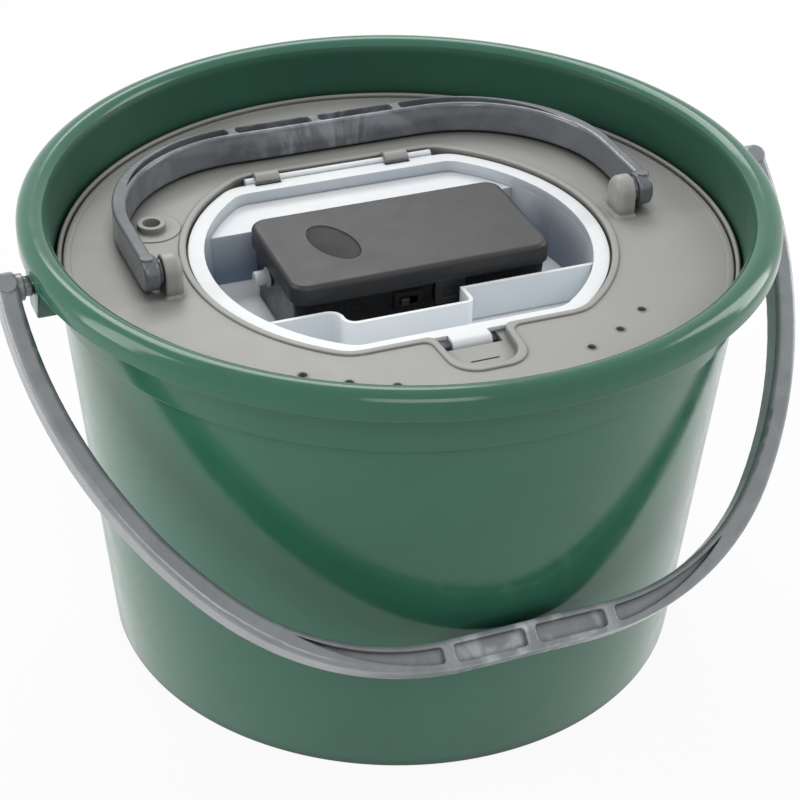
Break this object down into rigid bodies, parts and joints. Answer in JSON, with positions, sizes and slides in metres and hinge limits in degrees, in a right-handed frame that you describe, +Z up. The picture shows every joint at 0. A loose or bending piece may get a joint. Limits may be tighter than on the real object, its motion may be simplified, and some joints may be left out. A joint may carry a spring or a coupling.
{
  "type": "aerated bait bucket",
  "caption": "round bait pail with drop bail, perforated lift-out basket, grey lid with carrying handle and a hinged translucent tray that holds a battery air pump",
  "frame": {"origin": "middle of the bucket's foot, on the ground plane", "axes": "+Z up, X along the pivots of both handles, -Y the front, where the bail hangs and the tray's finger tab is"},
  "size_m": [0.3576, 0.3298, 0.214],
  "materials": {
    "green_plastic": "glossy deep green moulded plastic",
    "bail_plastic": "pearl grey moulded plastic with flow marks",
    "basket_plastic": "warm grey moulded plastic",
    "lid_plastic": "warm grey moulded plastic, fine grain",
    "handle_plastic": "pearl grey moulded plastic with flow marks",
    "tray_plastic": "translucent cold white polypropylene",
    "case_plastic": "black moulded plastic",
    "cover_plastic": "satin black moulded plastic",
    "gasket_rubber": "black rubber",
    "nozzle_plastic": "white moulded plastic",
    "switch_plastic": "black moulded plastic",
    "cell_jacket": "plain dark jacket, bare ends",
    "contact_metal": "plated spring strip",
    "motor_can": "plated steel can",
    "shaft_steel": "ground steel",
    "white_moulding": "white acetal moulding",
    "diaphragm_rubber": "black moulded rubber",
    "head_plastic": "grey moulded plastic",
    "tube_rubber": "pale soft tube",
    "clamp_steel": "plated steel strap",
    "screw_steel": "plated screw steel"
  },
  "bodies": {
    "bucket": {"outer_bucket": "green_plastic"},
    "bail": {"outer_bail": "bail_plastic"},
    "basket": {"bait_basket": "basket_plastic"},
    "lid": {"basket_lid": "lid_plastic"},
    "handle": {"lid_handle": "handle_plastic"},
    "door": {"pump_door": "tray_plastic"},
    "pump": {"pump_case": "case_plastic", "cover_gasket": "gasket_rubber", "air_nozzle": "nozzle_plastic", "battery_1": "cell_jacket", "battery_2": "cell_jacket", "leaf_contacts": "contact_metal", "contact_bridge": "contact_metal", "motor": "motor_can", "diaphragm": "diaphragm_rubber", "pump_head": "head_plastic", "head_cap": "head_plastic", "outlet_tube": "tube_rubber", "motor_clamp": "clamp_steel", "clamp_screws": "screw_steel", "head_screws": "screw_steel"},
    "cover": {"pump_cover": "cover_plastic"},
    "switch": {"power_switch": "switch_plastic"},
    "rotor": {"motor_shaft": "shaft_steel", "crank_wheel": "white_moulding"},
    "rod": {"connecting_rod": "white_moulding"}
  },
  "joints": [
    {"name": "bail_hinge", "type": "hinge", "parent": "bucket", "child": "bail", "pos_m": [0, 0, 0.1972], "axis": [-1, 0, 0], "range_deg": [0, 256]},
    {"name": "basket_lift", "type": "slide", "parent": "bucket", "child": "basket", "axis": [0, 0, 1], "range_m": [0, 0.16]},
    {"name": "lid_lift", "type": "slide", "parent": "basket", "child": "lid", "axis": [0, 0, 1], "range_m": [0, 0.06]},
    {"name": "handle_hinge", "type": "hinge", "parent": "lid", "child": "handle", "pos_m": [0, -0.005, 0.196], "axis": [1, 0, 0], "range_deg": [0, 178]},
    {"name": "door_hinge", "type": "hinge", "parent": "lid", "child": "door", "pos_m": [0, 0.0778, 0.18515], "axis": [-1, 0, 0], "range_deg": [0, 100]},
    {"name": "pump_lift", "type": "slide", "parent": "door", "child": "pump", "axis": [0, 0, 1], "range_m": [0, 0.06]},
    {"name": "cover_lift", "type": "slide", "parent": "pump", "child": "cover", "axis": [0, 0, 1], "range_m": [0, 0.03]},
    {"name": "switch_slide", "type": "slide", "parent": "pump", "child": "switch", "axis": [1, 0, 0], "range_m": [0, 0.004]},
    {"name": "rotor_spin", "type": "hinge", "parent": "pump", "child": "rotor", "pos_m": [-0.0185, 0, 0.1705], "axis": [0, -1, 0], "continuous": true},
    {"name": "rod_stroke", "type": "slide", "parent": "pump", "child": "rod", "axis": [1, 0, 0], "range_m": [-0.0005, 0.0005], "stiffness_N_per_m": 200}
  ]
}
